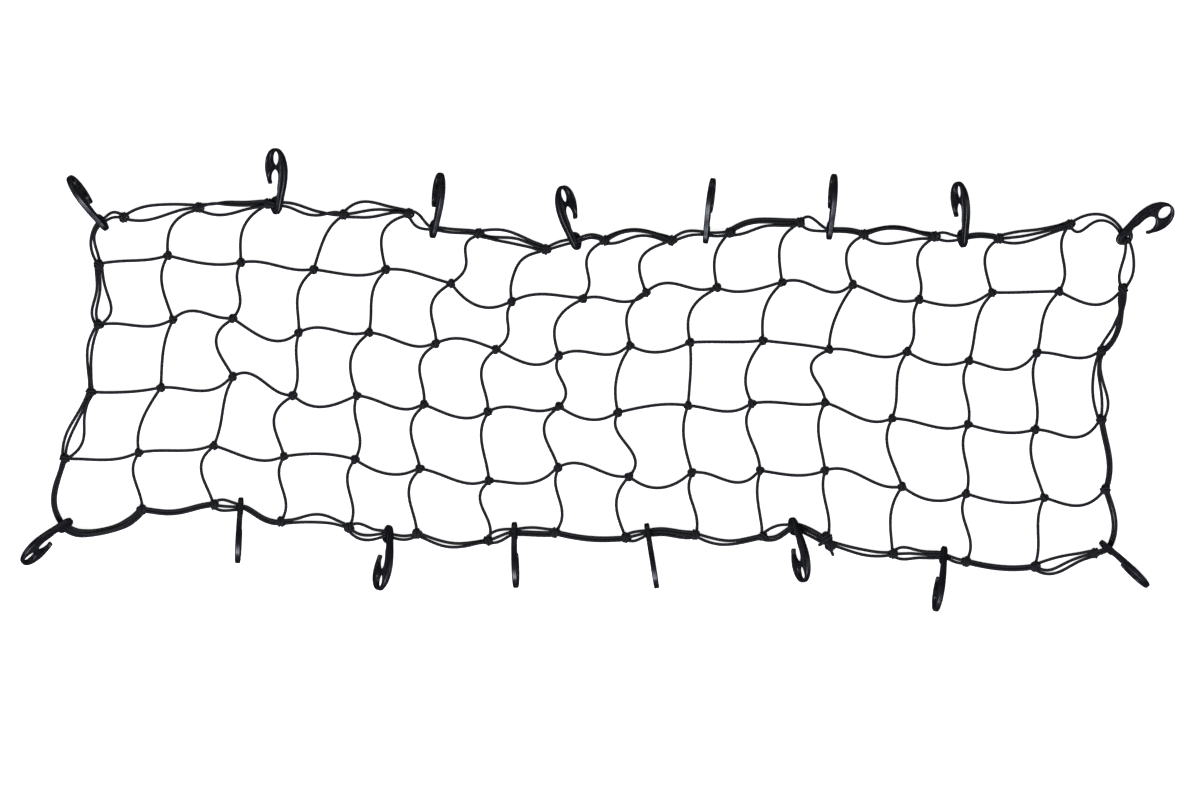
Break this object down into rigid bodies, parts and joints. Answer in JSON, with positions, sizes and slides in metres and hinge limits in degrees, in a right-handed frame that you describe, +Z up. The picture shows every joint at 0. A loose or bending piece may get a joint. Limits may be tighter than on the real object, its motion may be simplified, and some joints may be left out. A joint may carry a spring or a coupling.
{
  "type": "cargo net",
  "caption": "Knotted elastic cord cargo net with moulded claw hooks on its edges, laid out loose and flat.",
  "frame": {"origin": "middle of the bounding box at the level of the surface that the net lies on", "axes": "+X along the net's long side, +Y across it towards the upper edge, +Z up from the surface"},
  "size_m": [1.2698, 0.5094, 0.0314],
  "materials": {
    "cord": "braided polyester sheath, dull black",
    "hook": "moulded, satin to semi-gloss black"
  },
  "bodies": {
    "root": {"net": "cord", "hook_01": "hook", "hook_02": "hook", "hook_03": "hook", "hook_04": "hook", "hook_05": "hook", "hook_06": "hook", "hook_07": "hook", "hook_08": "hook", "hook_09": "hook", "hook_10": "hook", "hook_11": "hook", "hook_12": "hook", "hook_13": "hook", "hook_14": "hook", "hook_15": "hook", "hook_16": "hook"}
  },
  "joints": []
}
